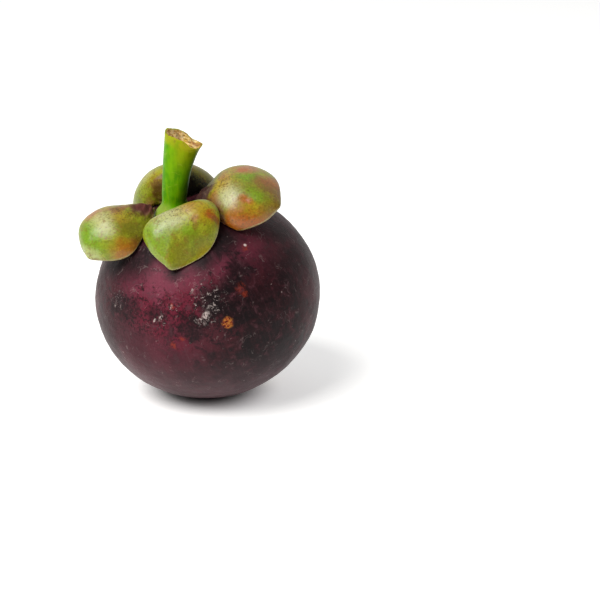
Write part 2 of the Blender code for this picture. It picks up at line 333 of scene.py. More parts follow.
def step(tree, value, low, high):
    """0 up to low, 1 from high on, and a soft step between. low may be the larger, which turns it round."""
    inputs = {"Value": value, "From Min": low, "From Max": high}
    return node(tree, "MapRange", inputs, interpolation_type="SMOOTHSTEP").outputs["Result"]


def times(tree, value, share):
    """The value times the share, which is a number or another value."""
    return sums(tree, "MULTIPLY", value, share)


def vector_sums(tree, operation, a, b, output=0):
    """One Vector Math node: the operation on a and b."""
    return node(tree, "VectorMath", {0: a, 1: b}, operation=operation).outputs[output]


def mask_group(name, vectors, numbers):
    """A node group that turns these vectors and numbers into a mask: its tree, the sockets that bring them
    in, and the socket that takes the mask out."""
    tree = bpy.data.node_groups.new(name, "ShaderNodeTree")
    for socket in vectors:
        tree.interface.new_socket(socket, in_out="INPUT", socket_type="NodeSocketVector")
    for socket in numbers:
        tree.interface.new_socket(socket, in_out="INPUT", socket_type="NodeSocketFloat")
    tree.interface.new_socket("Mask", in_out="OUTPUT", socket_type="NodeSocketFloat")
    given = tree.nodes.new("NodeGroupInput").outputs
    return tree, given, tree.nodes.new("NodeGroupOutput").inputs["Mask"]


def put_group(tree, group, inputs):
    """The mask from one use of a node group with these inputs."""
    made = tree.nodes.new("ShaderNodeGroup")
    made.node_tree = group
    fill(tree, made, inputs)
    return made.outputs["Mask"]


mark_group, given, mask = mask_group(
    "mark", ("Position", "Centre", "Along"), ("Stretch", "Radius", "Softness", "Waver")
)
arm = vector_sums(mark_group, "SUBTRACT", given["Position"], given["Centre"])
forth = vector_sums(mark_group, "DOT_PRODUCT", arm, given["Along"], "Value")
forth = times(mark_group, forth, given["Stretch"])
shorter = node(mark_group, "VectorMath", {0: given["Along"], "Scale": forth}, operation="SCALE").outputs[0]
arm = vector_sums(mark_group, "SUBTRACT", arm, shorter)
reach = node(mark_group, "VectorMath", {0: arm}, operation="LENGTH").outputs["Value"]
reach = sums(mark_group, "ADD", sums(mark_group, "DIVIDE", reach, given["Radius"]), given["Waver"])
outer = sums(mark_group, "ADD", 1.0, given["Softness"])
inner = sums(mark_group, "SUBTRACT", 1.0, given["Softness"])
mark_group.links.new(step(mark_group, reach, outer, inner), mask)


def mark(tree, where, centre, radius, softness=0.5, waver=0.0, along=(0.0, 0.0, 0.0), stretch=0.0):
    """The mask of one mark: 1 near `centre`, falling to 0 about a radius away, softly. `waver` makes its edge
    ragged. A `stretch` up to 1 draws it out `along` a way, and one below 0 squeezes it."""
    inputs = {"Position": where, "Centre": tuple(centre), "Along": tuple(along), "Stretch": stretch}
    return put_group(tree, mark_group, {**inputs, "Radius": radius, "Softness": softness, "Waver": waver})


speck_group, given, mask = mask_group("specks", ("Position",), ("Spacing", "Share", "Width"))
per_metre = sums(speck_group, "DIVIDE", 1.0, given["Spacing"])
cells = node(speck_group, "TexVoronoi", {"Vector": given["Position"], "Scale": per_metre})
chance = node(speck_group, "SeparateColor", {"Color": cells.outputs["Color"]}).outputs[0]
chosen = sums(speck_group, "LESS_THAN", chance, given["Share"])
near = step(speck_group, cells.outputs["Distance"], given["Width"], 0.0)
speck_group.links.new(times(speck_group, chosen, near), mask)


def specks(tree, where, spacing, share, width):
    """Scattered dots: one place in each cell of about `spacing`, used in the given share of cells. `width` is
    a dot's radius as a part of the spacing."""
    inputs = {"Position": where, "Spacing": spacing, "Share": share, "Width": width}
    return put_group(tree, speck_group, inputs)


hair_group, given, mask = mask_group("hairs", ("Position",), ("Size", "Width", "Bare"))
per_metre = sums(hair_group, "DIVIDE", 1.0, given["Size"])
drift = {"Vector": given["Position"], "Scale": per_metre, "Detail": 2.0, "Roughness": 0.6, "Distortion": 1.2}
level = sums(hair_group, "SUBTRACT", node(hair_group, "TexNoise", drift).outputs["Fac"], 0.5)
thin = step(hair_group, sums(hair_group, "ABSOLUTE", level, 0.0), given["Width"], 0.0)
apart = vector_sums(hair_group, "ADD", given["Position"], HAIR_GAP_OFFSET)
patchy = {"Vector": apart, "Scale": times(hair_group, per_metre, HAIR_GAP_SCALE), "Detail": 2.0}
patchy = node(hair_group, "TexNoise", patchy).outputs["Fac"]
patchy = step(hair_group, patchy, given["Bare"], sums(hair_group, "ADD", given["Bare"], HAIR_GAP_EDGE))
hair_group.links.new(times(hair_group, thin, patchy), mask)


def hairs(tree, where, size, width, bare):
    """Thin curling lines, where clouds of about `size` cross their middle value. `width` is how far from the
    middle a line still shows, and a higher `bare` leaves fewer of them."""
    return put_group(tree, hair_group, {"Position": where, "Size": size, "Width": width, "Bare": bare})


def wash(tree, coat, tint, mask, share=1.0):
    """The coat with a tint laid over it where the mask is 1, by the share at most."""
    return layer(tree, times(tree, mask, share) if share < 1.0 else mask, coat, tint)


def wavering(tree, cloud, strength):
    """A cloudy value turned into one that wavers about 0: (cloud - 0.5) times the strength."""
    return times(tree, sums(tree, "SUBTRACT", cloud, 0.5), strength)


def weighed(tree, *parts):
    """The sum of some values, each times its weight."""
    total, *others = [times(tree, value, weight) for value, weight in parts]
    for other in others:
        total = sums(tree, "ADD", total, other)
    return total


def between(tree, value, low, high):
    """Low where the value is 0, high where it is 1, and even between."""
    return node(tree, "MapRange", {"Value": value, "To Min": low, "To Max": high}).outputs["Result"]


def give_finish(tree, shader, coat, rough, grain, strength, depth):
    """Gives the shader its colour, its roughness, and a fine relief of about `depth` from the grain."""
    relief = node(tree, "Bump", {"Height": grain, "Strength": strength, "Distance": depth}).outputs["Normal"]
    for socket, value in (("Base Color", coat), ("Roughness", rough), ("Normal", relief)):
        tree.links.new(value, shader.inputs[socket])


def rind_strands(t, angle):
    """Coordinates with a short third part, so that a pattern in them runs in long threads from the calyx."""
    girth = RIND_HALF_WIDTH
    third = STRAND_SHORTENING * np.pi * girth * t
    return np.stack([girth * np.cos(angle), girth * np.sin(angle), third], axis=1)


DARK_PURPLE = rgb(0.024, 0.0055, 0.0075)
DEEP_WINE = rgb(0.055, 0.0090, 0.0140)
ROSE = rgb(0.162, 0.0250, 0.0480)
CRIMSON = rgb(0.115, 0.0075, 0.0210)
PITCH = rgb(0.008, 0.0040, 0.0050)
MAUVE = rgb(0.118, 0.0480, 0.0620)
BLOOM_AND_FLOOR_REFLECTION = rgb(0.103, 0.0520, 0.0600)
CORK = rgb(0.370, 0.1400, 0.0250)
RUST = rgb(0.240, 0.0300, 0.0120)
DRY = rgb(0.560, 0.4600, 0.4300)
# Where each tint lies: rows of compass and height in degrees, radius in millimetres, and how much it covers.
ROSE_PATCHES = (
    (-118.0, 30.0, 9.0, 0.9), (-108.0, 18.0, 8.0, 0.9), (-126.0, 20.0, 6.0, 0.5), (-87.0, 34.0, 6.5, 0.8),
    (-74.0, 38.0, 5.5, 0.7), (-56.0, 42.0, 6.0, 0.35), (-122.0, -12.0, 9.0, 0.25),
    (-98.0, -9.0, 7.0, 0.30), (35.0, 20.0, 9.0, 0.6), (120.0, 8.0, 10.0, 0.5), (170.0, 30.0, 8.0, 0.6),
)
CRIMSON_PATCHES = (
    (-99.0, 15.0, 4.0, 0.85), (-94.0, 9.0, 3.6, 0.85), (-104.0, 10.0, 4.0, 0.85),
    (-120.0, 9.0, 4.2, 0.85), (-112.0, 1.0, 3.0, 0.85), (-100.0, -6.0, 2.6, 0.85),
    (-84.0, 24.0, 2.0, 0.85),
)
# Blackish patches of the skin. The rows at compass -70 and -48, heights -28 and -30, are painted shade low at
# the right.
DARK_PATCHES_AND_SHADE = (
    (-69.0, 31.0, 3.4, 0.9), (-73.0, 25.0, 2.4, 0.8), (-79.0, 20.0, 3.8, 0.8), (-74.0, 11.0, 5.0, 0.8),
    (-84.0, 12.0, 2.6, 0.8), (-139.0, 8.0, 3.4, 0.8), (-128.0, 8.0, 3.0, 0.6), (-93.0, 2.0, 3.4, 0.8),
    (-113.0, 7.0, 2.6, 0.6), (-55.0, 12.0, 8.5, 0.5), (-52.0, -8.0, 9.0, 0.6), (-36.0, 22.0, 7.0, 0.4),
    (-70.0, -28.0, 11.0, 0.7), (-48.0, -30.0, 12.0, 0.9), (-105.0, -22.0, 12.0, 0.10),
    (60.0, -5.0, 5.0, 0.8), (140.0, 22.0, 4.0, 0.8),
)
# Painted shade on the skin under the sepals' edges, where their shadows fall.
PAINTED_SHADE_UNDER_SEPALS = (
    (-149.0, 27.0, 4.0, 0.95), (-134.0, 31.0, 5.0, 0.95), (-127.0, 38.0, 3.4, 0.95),
    (-106.0, 30.0, 2.4, 0.95), (-90.0, 36.0, 3.4, 0.95), (-79.0, 43.0, 3.2, 0.95),
    (-70.0, 49.0, 4.0, 0.95),
)
# Small marks: rows of compass and height in degrees and radius in millimetres.
FLAKED_SPOTS = ((-94.5, 21.2, 1.2), (-110.0, 5.2, 1.1), (-139.0, 10.0, 2.2), (-105.0, 12.0, 1.0))
PEELED_SPOTS = (
    (-88.3, 8.4, 0.95), (-86.5, 12.6, 0.50), (-110.8, 5.5, 0.40), (-114.0, 4.1, 0.32),
    (-105.4, 12.0, 0.36), (-94.5, 21.2, 0.40),
)
RUST_SPOTS = (
    (-69.5, 20.2, 1.1), (-67.5, 17.8, 0.8), (-104.6, -7.5, 0.8), (-99.7, -4.0, 0.7), (-105.4, 12.4, 0.7),
    (-60.0, 41.0, 0.9),
)
BELT = rind_spot(-108.0, 7.0)
BELT_RADIUS = 17.0 * MM
BLOOM_AND_REFLECTION_NONE_FROM = 22.0 * MM
BLOOM_AND_REFLECTION_FULL_UNDER = 4.0 * MM
UPWARD = (0.0, 0.0, 1.0)
PEELED_SLANT = (0.53, 0.0, 0.85)

rind = skin("rind_skin", rind_points, columns=320, rings=250, notes=rind_strands)
rind_finish, tree, shader, where = finish_tree("rind_skin")
strands = node(tree, "Attribute", attribute_name="place").outputs["Vector"]
clouds = noise(tree, where, 9.0 * MM, detail=4.0, roughness=0.6)
mottle = noise(tree, where, 2.6 * MM, detail=7.0, roughness=0.72, distortion=0.5)
fine = noise(tree, where, 0.7 * MM, detail=4.0, roughness=0.7)
threads = noise(tree, strands, 0.7 * MM, detail=3.0, roughness=0.6)
flaky = noise(tree, where, 0.9 * MM, detail=4.0, roughness=0.75, distortion=1.2)
ragged = wavering(tree, mottle, 4.5)
tidier = times(tree, ragged, 0.35)
coat = layer(tree, step(tree, clouds, 0.40, 0.62), DARK_PURPLE, DEEP_WINE)
# The pitch rows under the sepals, and two low at the right, lay painted shade.
for tint, softness, waver, patches in (
    (ROSE, 0.7, ragged, ROSE_PATCHES),
    (CRIMSON, 0.5, ragged, CRIMSON_PATCHES),
    (PITCH, 0.6, ragged, DARK_PATCHES_AND_SHADE),
    (PITCH, 0.9, tidier, PAINTED_SHADE_UNDER_SEPALS),
):
    for compass, height, radius, share in patches:
        patch = mark(tree, where, rind_spot(compass, height), radius * MM, softness, waver)
        coat = wash(tree, coat, tint, patch, share)
belt = mark(tree, where, BELT, BELT_RADIUS, 0.35, ragged, UPWARD, stretch=-1.8)
coat = wash(tree, coat, PITCH, times(tree, belt, step(tree, fine, 0.54, 0.40)), 0.85)
coat = wash(tree, coat, PITCH, step(tree, mottle, 0.48, 0.34), 0.30)
coat = wash(tree, coat, PITCH, step(tree, fine, 0.50, 0.34), 0.12)
coat = wash(tree, coat, MAUVE, step(tree, mottle, 0.54, 0.70), 0.35)
coat = wash(tree, coat, MAUVE, step(tree, fine, 0.55, 0.68), 0.18)
# Greyer towards the bottom: a grey bloom that is partly painted reflection of the white floor.
low = step(tree, node(tree, "SeparateXYZ", {0: where}).outputs["Z"], BLOOM_AND_REFLECTION_NONE_FROM, BLOOM_AND_REFLECTION_FULL_UNDER)
coat = wash(tree, coat, BLOOM_AND_FLOOR_REFLECTION, times(tree, low, sums(tree, "ADD", clouds, 0.05)))
coat = wash(tree, coat, MAUVE, step(tree, threads, 0.52, 0.72), 0.10)
coat = wash(tree, coat, PITCH, step(tree, threads, 0.48, 0.30), 0.10)
coat = wash(tree, coat, DRY, hairs(tree, where, 4.2 * MM, width=0.022, bare=0.56), 0.12)
nicks = hairs(tree, where, 1.2 * MM, width=0.035, bare=0.64)
coat = wash(tree, coat, DRY, times(tree, nicks, step(tree, clouds, 0.48, 0.80)))
coat = wash(tree, coat, DRY, specks(tree, where, 3.4 * MM, share=0.22, width=0.10), 0.5)

scraped = mark(tree, where, SCRAPE, 2.9 * MM, 0.6, ragged, UPWARD, stretch=0.35)
coat = wash(tree, coat, PITCH, scraped, 0.8)
for compass, height, radius in FLAKED_SPOTS:
    patch = mark(tree, where, rind_spot(compass, height), radius * MM, 0.8, ragged)
    scraped = sums(tree, "MAXIMUM", scraped, times(tree, patch, 0.75))
scraped = times(tree, scraped, step(tree, flaky, 0.56, 0.66))
for compass, height, radius in PEELED_SPOTS:
    spot = rind_spot(compass, height)
    peeled = mark(tree, where, spot, radius * MM, 0.5, ragged, PEELED_SLANT, stretch=0.5)
    scraped = sums(tree, "MAXIMUM", scraped, times(tree, peeled, step(tree, flaky, 0.44, 0.56)))
coat = wash(tree, coat, DRY, scraped, 0.85)
scab = mark(tree, where, SCAB, 1.35 * MM, 0.25, tidier)
crust = layer(tree, step(tree, fine, 0.38, 0.46), PITCH, RUST)
coat = wash(tree, coat, layer(tree, step(tree, fine, 0.45, 0.53), crust, CORK), scab)
for compass, height, radius in RUST_SPOTS:
    patch = mark(tree, where, rind_spot(compass, height), radius * MM, 0.6, ragged)
    coat = wash(tree, coat, RUST, times(tree, patch, step(tree, fine, 0.40, 0.58)), 0.7)
coat = wash(tree, coat, DRY, mark(tree, where, BLISTER, 0.35 * MM, 0.5))
rough = sums(tree, "ADD", between(tree, mottle, 0.36, 0.60), times(tree, scab, 0.3))
grain = weighed(tree, (threads, 0.1), (fine, 0.6), (scraped, 0.6), (mottle, 1.2))
give_finish(tree, shader, coat, rough, grain, strength=0.6, depth=0.14 * MM)
shader.inputs["Specular IOR Level"].default_value = 0.12
shader.inputs["Sheen Weight"].default_value = 0.06
shader.inputs["Sheen Roughness"].default_value = 0.3
rind.data.materials.append(rind_finish)
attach(rind, "root")
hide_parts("rind")

# Stigma scar. The flower's dried stigma stays under the fruit as a thin brown corky rosette of six lobes. It
# grows out of the rind, low at the back right.
STIGMA_RADIUS = 5.4 * MM
STIGMA_THICKNESS = 0.9 * MM
STIGMA_EDGE_THICKNESS = 0.6 * MM
STIGMA_LOBES = 6
STIGMA_NOTCH = 0.16
STIGMA_NOTCH_SHARPNESS = 1.5
STIGMA_TOP_SHARE = 0.6
STIGMA_RIM_SHARE = 0.1
STIGMA_GROOVE_DEPTH = 0.35 * MM
STIGMA_GROOVE_WIDTH = 0.22
STIGMA_GROOVE_START = 0.15
STIGMA_CRUMB_SIZE = 1.2 * MM
STIGMA_CRUMB_DEPTH = 0.05 * MM
STIGMA_CRUMB_SINK = 1.2
STIGMA_DARK = rgb(0.075, 0.036, 0.020)
STIGMA_TAN = rgb(0.260, 0.150, 0.080)
STIGMA_PITS = rgb(0.030, 0.014, 0.010)


def stigma_points(t, angle):
    """A thin plate that follows the rind: its top from the middle to the rim, then its underside back to the
    middle. Its plan is a circle with a notch between lobes, where |cos(lobes x angle / 2)| is small. The top
    has a groove there too, and all of it is crumbly."""
    right, back = square_to(STIGMA_OUT)
    lobe = np.abs(np.cos(0.5 * STIGMA_LOBES * angle))
    plan = STIGMA_RADIUS * (1.0 - STIGMA_NOTCH * (1.0 - lobe) ** STIGMA_NOTCH_SHARPNESS)
    top = np.clip(t / STIGMA_TOP_SHARE, 0.0, 1.0)
    under = np.clip((1.0 - t) / (1.0 - STIGMA_TOP_SHARE - STIGMA_RIM_SHARE), 0.0, 1.0)
    spread = plan * np.minimum(top, under)
    round_about = np.cos(angle)[:, None] * right + np.sin(angle)[:, None] * back
    arms = STIGMA_OUT * RIND_HALF_HEIGHT + spread[:, None] * round_about
    thickness = STIGMA_THICKNESS + (STIGMA_EDGE_THICKNESS - STIGMA_THICKNESS) * top**2
    groove = STIGMA_GROOVE_DEPTH * np.exp(-((lobe / STIGMA_GROOVE_WIDTH) ** 2))
    groove = groove * np.sin(np.pi * np.clip(top, STIGMA_GROOVE_START, 1.0) * 0.5)
    crumb = STIGMA_CRUMB_DEPTH * (swell(arms, STIGMA_CRUMB_SIZE, 11) - STIGMA_CRUMB_SINK)
    thickness = thickness - groove + crumb
    is_under = t > STIGMA_TOP_SHARE + 1e-6
    return over_rind(unit(arms), CLEARANCE + np.where(is_under, 0.0, thickness))


stigma = skin("stigma_rosette", stigma_points, columns=144, rings=48)
stigma_finish, tree, shader, where = finish_tree("stigma_rosette")
coarse = noise(tree, where, 2.0 * MM, detail=4.0, roughness=0.6)
crumbs = noise(tree, where, 0.4 * MM, detail=4.0, roughness=0.7)
coat = layer(tree, step(tree, coarse, 0.38, 0.62), STIGMA_DARK, STIGMA_TAN)
coat = wash(tree, coat, STIGMA_PITS, step(tree, crumbs, 0.50, 0.36), 0.8)
give_finish(tree, shader, coat, between(tree, crumbs, 0.75, 0.95), crumbs, strength=0.8, depth=0.2 * MM)
stigma.data.materials.append(stigma_finish)
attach(stigma, "root")
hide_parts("stigma")

# Stalk. A round green stem grown in one piece with the pale collar at its foot. It was cut from the tree, so
# its top is a rough slanting face, ochre and brown inside an uneven thin lip of bark.
STALK_LENGTH = 19.9 * MM
STALK_NECK_RADIUS = 3.15 * MM
STALK_TOP_RADIUS = 4.9 * MM
STALK_FLARE_POWER = 1.7
COLLAR_RADIUS = 5.5 * MM
COLLAR_HEIGHT = 2.1 * MM
COLLAR_STEEPNESS = 3.0
COLLAR_LEFT_LEAN = 0.7
STALK_LEAN = np.array([0.04, -0.03, 1.0])
STALK_BEND_RIGHT = 0.00565 / MM
STALK_CUT_SLOPE = 0.36
STALK_CUT_FORWARD = 0.135
STALK_CUT_HOLLOW = 0.7 * MM
STALK_SLOPE_STARTS = 0.55
STALK_TURN_HEIGHT = 6.0 * MM
STALK_SOFT_CONTACT = 0.2 * MM
STALK_BASE_SHARE = 0.15
STALK_CAP_SHARE = 0.15
STALK_RING_CROWDING = 1.35
CUT_ROUGHNESS = 0.22 * MM
CUT_FLAKE_SIZE = 2.4 * MM
CUT_FLAKE_STEPS = 1.5
CUT_GRIT_SIZE = 0.8 * MM
CUT_GRIT_SHARE = 0.6
CUT_SINK = 1.4
CUT_RIM_CALM = 0.6
# Where the cut's rim rises or dips: the angle in degrees, the height, and the spread of the angle.
CUT_LIPS = ((-105.0, 1.0 * MM, 0.60), (-50.0, -0.7 * MM, 0.35), (55.0, -1.2 * MM, 0.60))
BARK_WAVE = 0.05 * MM
BARK_WAVE_SIZE = 3.2 * MM
BARK_WAVE_SINK = 1.0
BARK_WAVE_LENGTHENING = 0.35
BARK_GREEN = rgb(0.075, 0.260, 0.001)
BRIGHT_GREEN = rgb(0.130, 0.340, 0.001)
YELLOWED = rgb(0.330, 0.340, 0.002)
PALE_VEIN = rgb(0.230, 0.390, 0.002)
DARK_VEIN = rgb(0.040, 0.130, 0.001)
PAINTED_SHADE_SIDE = rgb(0.028, 0.060, 0.001)
PALE_COLLAR = rgb(0.230, 0.330, 0.040)
BARK_SCAR = rgb(0.340, 0.420, 0.030)
DRIED_LIP = rgb(0.360, 0.320, 0.010)
WOOD_OCHRE = rgb(0.560, 0.330, 0.090)
WOOD_CREAM = rgb(0.820, 0.640, 0.330)
WOOD_BROWN = rgb(0.140, 0.055, 0.014)
WOOD_RED = rgb(0.260, 0.055, 0.008)
WOOD_GOLD = rgb(0.720, 0.480, 0.060)
WOOD_PITS = rgb(0.120, 0.035, 0.010)


def bump(angle, middle, spread):
    """1 where the angle meets the middle, falling off on both sides as a bell."""
    away = (angle - middle + np.pi) % (2.0 * np.pi) - np.pi
    return np.exp(-((away / spread) ** 2))


def stalk_runs(t):
    """How far out on the cut face, how far up the side, and how far out on the foot, each from 0 to 1."""
    cap = np.clip(t / STALK_CAP_SHARE, 0.0, 1.0)
    side = np.clip((1.0 - t - STALK_BASE_SHARE) / (1.0 - STALK_BASE_SHARE - STALK_CAP_SHARE), 0.0, 1.0)
    base = np.clip((1.0 - t) / STALK_BASE_SHARE, 0.0, 1.0)
    return cap, side**STALK_RING_CROWDING, base


def stalk_points(t, angle):
    """Rings along a path that starts at the calyx and bends to the right, with t from the cut to the foot.
    Their radius is the neck's, plus a flare as a power of the height, plus a collar that falls off as a steep
    bell, plus shallow waves. The lowest lie square to the calyx and turn level, and the topmost tip to the
    cut. Its rim rises and dips as bells about some angles, and its face is torn up in small steps."""
    cap, along, base = stalk_runs(t)
    height = STALK_LENGTH * along
    radius = STALK_NECK_RADIUS + (STALK_TOP_RADIUS - STALK_NECK_RADIUS) * along**STALK_FLARE_POWER
    collar = np.exp(-((height / COLLAR_HEIGHT) ** COLLAR_STEEPNESS))
    lopsided = 1.0 - COLLAR_LEFT_LEAN * (0.5 + 0.5 * np.cos(angle))
    radius = radius + (COLLAR_RADIUS - STALK_NECK_RADIUS) * collar * lopsided
    tube = [radius * np.cos(angle), radius * np.sin(angle), height * BARK_WAVE_LENGTHENING]
    waves = swell(np.stack(tube, axis=1), BARK_WAVE_SIZE, 21) - BARK_WAVE_SINK
    radius = (radius + BARK_WAVE * waves) * base * cap
    level = np.clip(height / STALK_TURN_HEIGHT, 0.0, 1.0)
    level = level * level * (3.0 - 2.0 * level)
    up = unit(CALYX_UP * (1.0 - level)[:, None] + np.array([0.0, 0.0, 1.0]) * level[:, None])
    right, back = square_to(up)
    x = radius * np.cos(angle)
    y = radius * np.sin(angle)
    slope = np.clip((along - STALK_SLOPE_STARTS) / (1.0 - STALK_SLOPE_STARTS), 0.0, 1.0) ** 2
    drop = slope * (STALK_CUT_FORWARD * y - STALK_CUT_SLOPE * x) - STALK_CUT_HOLLOW * (1.0 - cap**2)
    flat = np.stack([x, y, np.zeros_like(x)], axis=1)
    flakes = np.round(CUT_FLAKE_STEPS * swell(flat, CUT_FLAKE_SIZE, 22)) / CUT_FLAKE_STEPS
    torn = flakes + CUT_GRIT_SHARE * swell(flat, CUT_GRIT_SIZE, 23) - CUT_SINK
    drop = drop + CUT_ROUGHNESS * torn * slope * (1.0 - CUT_RIM_CALM * cap**4) * (cap > 0.0)
    for turn, rise, spread in CUT_LIPS:
        drop = drop + rise * bump(angle, np.radians(turn), spread) * slope**4 * cap**3
    path = CALYX_SEAT + CALYX_UP * CLEARANCE + height[:, None] * STALK_LEAN
    path[:, 0] += STALK_BEND_RIGHT * height**2
    points = path + x[:, None] * right + y[:, None] * back
    points[:, 2] += drop
    return lifted_clear(points, STALK_SOFT_CONTACT)


def stalk_places(t, angle):
    """How far out on the cut face, how far up the stem, and how far round to the right, each from 0 to 1."""
    cap, along, _ = stalk_runs(t)
    return np.stack([cap, along, 0.5 + 0.5 * np.cos(angle)], axis=1)


def let_light_in(shader, weight, radius):
    """Lets light into the flesh under the skin, by the weight, to these depths in red, green and blue."""
    shader.inputs["Subsurface Weight"].default_value = weight
    shader.inputs["Subsurface Radius"].default_value = radius
    shader.inputs["Subsurface Scale"].default_value = 1.0


stalk = skin("stalk_skin", stalk_points, columns=144, rings=170, notes=stalk_places)
stalk_finish, tree, shader, where = finish_tree("stalk_skin")
place = node(tree, "Attribute", attribute_name="place").outputs["Vector"]
on_cut, up_stem, to_right = node(tree, "SeparateXYZ", {0: place}).outputs
drawn = node(tree, "Mapping", {"Vector": where, "Scale": (1.0, 1.0, 0.18)}).outputs["Vector"]
veins = noise(tree, drawn, 0.9 * MM, detail=3.0, roughness=0.55)
banded = node(tree, "Mapping", {"Vector": where, "Scale": (0.35, 0.35, 1.0)}).outputs["Vector"]
scars = hairs(tree, banded, 2.0 * MM, width=0.05, bare=0.56)
clouds = noise(tree, where, 3.0 * MM, detail=3.0, roughness=0.5)
crumbs = noise(tree, where, 1.1 * MM, detail=5.0, roughness=0.72)
coat = layer(tree, step(tree, clouds, 0.35, 0.65), BARK_GREEN, BRIGHT_GREEN)
middle = times(tree, step(tree, to_right, 0.15, 0.60), step(tree, up_stem, 0.45, 0.95))
coat = wash(tree, coat, YELLOWED, middle, 0.85)
coat = wash(tree, coat, PALE_VEIN, step(tree, veins, 0.50, 0.68), 0.40)
coat = wash(tree, coat, DARK_VEIN, step(tree, veins, 0.48, 0.34), 0.22)
# Painted shade: the stalk's right side is darker, away from the soft box.
coat = wash(tree, coat, PAINTED_SHADE_SIDE, step(tree, to_right, 0.60, 1.00), 0.7)
collar_tint = times(tree, step(tree, up_stem, 0.20, 0.10), step(tree, to_right, 0.5, 0.2))
coat = wash(tree, coat, PALE_COLLAR, collar_tint)
coat = wash(tree, coat, BARK_SCAR, scars, 0.30)
lip = times(tree, step(tree, up_stem, 0.86, 0.97), step(tree, clouds, 0.35, 0.55))
coat = wash(tree, coat, DRIED_LIP, lip, 0.7)
wood = layer(tree, step(tree, crumbs, 0.42, 0.60), WOOD_OCHRE, WOOD_CREAM)
browned = times(tree, step(tree, to_right, 0.65, 0.25), step(tree, clouds, 0.35, 0.50))
wood = wash(tree, wood, WOOD_BROWN, browned, 0.5)
reddened = times(tree, step(tree, to_right, 0.90, 0.98), step(tree, crumbs, 0.40, 0.55))
wood = wash(tree, wood, WOOD_RED, reddened, 0.8)
golden = times(tree, step(tree, to_right, 0.40, 0.70), step(tree, clouds, 0.60, 0.40))
wood = wash(tree, wood, WOOD_GOLD, golden, 0.6)
wood = wash(tree, wood, WOOD_PITS, step(tree, crumbs, 0.44, 0.36))
frayed = sums(tree, "ADD", on_cut, wavering(tree, crumbs, 0.5))
face = times(tree, step(tree, frayed, 0.99, 0.88), step(tree, up_stem, 0.94, 0.98))
coat = wash(tree, coat, wood, face)
grain = weighed(tree, (veins, 0.8), (times(tree, crumbs, face), 2.0), (scars, 0.5))
give_finish(tree, shader, coat, between(tree, face, 0.34, 0.80), grain, strength=0.5, depth=0.15 * MM)
shader.inputs["Specular IOR Level"].default_value = 0.04
let_light_in(shader, 0.15, (1.0 * MM, 1.6 * MM, 0.4 * MM))
stalk.data.materials.append(stalk_finish)
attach(stalk, "root")
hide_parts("stalk")

# Sepals. Four thick leathery leaves grow round the collar, each a dome like an upturned spoon bowl with a
# thin pale margin. They are waxy yellow-green, finely speckled, and rusty or orange where they are bruised.
# Their highlights are painted on as pale patches, and painted shade darkens them inside, beside their
# neighbours and by the stalk.
SEPAL_RIM_THICKNESS = 1.3 * MM
SEPAL_CROWN_THICKNESS = 3.0 * MM
SEPAL_PLAN_ROUNDNESS = 2.3
SEPAL_CROWN_ROUNDNESS = 1.75
SEPAL_CREST = 0.45
SEPAL_POINT_SPREAD = 0.40
SEPAL_NIB_SPREAD = 0.13
SEPAL_NECK_SPREAD = 0.45
SEPAL_CHEEK_TURN = 0.45
SEPAL_CHEEK_SPREAD = 0.30
SEPAL_NIB_SHARE = 0.30
SEPAL_TIP_STEEPNESS = 6
SEPAL_LUMP_SIZE = 5.0 * MM
SEPAL_LUMP_SHARE = 0.0035
SEPAL_PIMPLE_SIZE = 1.3 * MM
SEPAL_PIMPLE_SHARE = 0.0012
SEPAL_CRINKLE_SIZE = 1.8 * MM
SEPAL_CRINKLE_SHARE = 0.012
SEPAL_CRINKLES_START = 0.375
SEPAL_SINK = 1.2
SEPAL_KNOT_LUMP_SIZE = 1.6 * MM
SEPAL_KNOT_LUMP_SHARE = 0.25
SEPAL_HEM_STARTS = 0.6
SEPAL_SOFT_CONTACT = 0.8 * MM
SEPAL_PATTERN_SHIFT = 37.0 * MM
OUTER_SHARE = 0.55
RIM_SHARE = 0.10
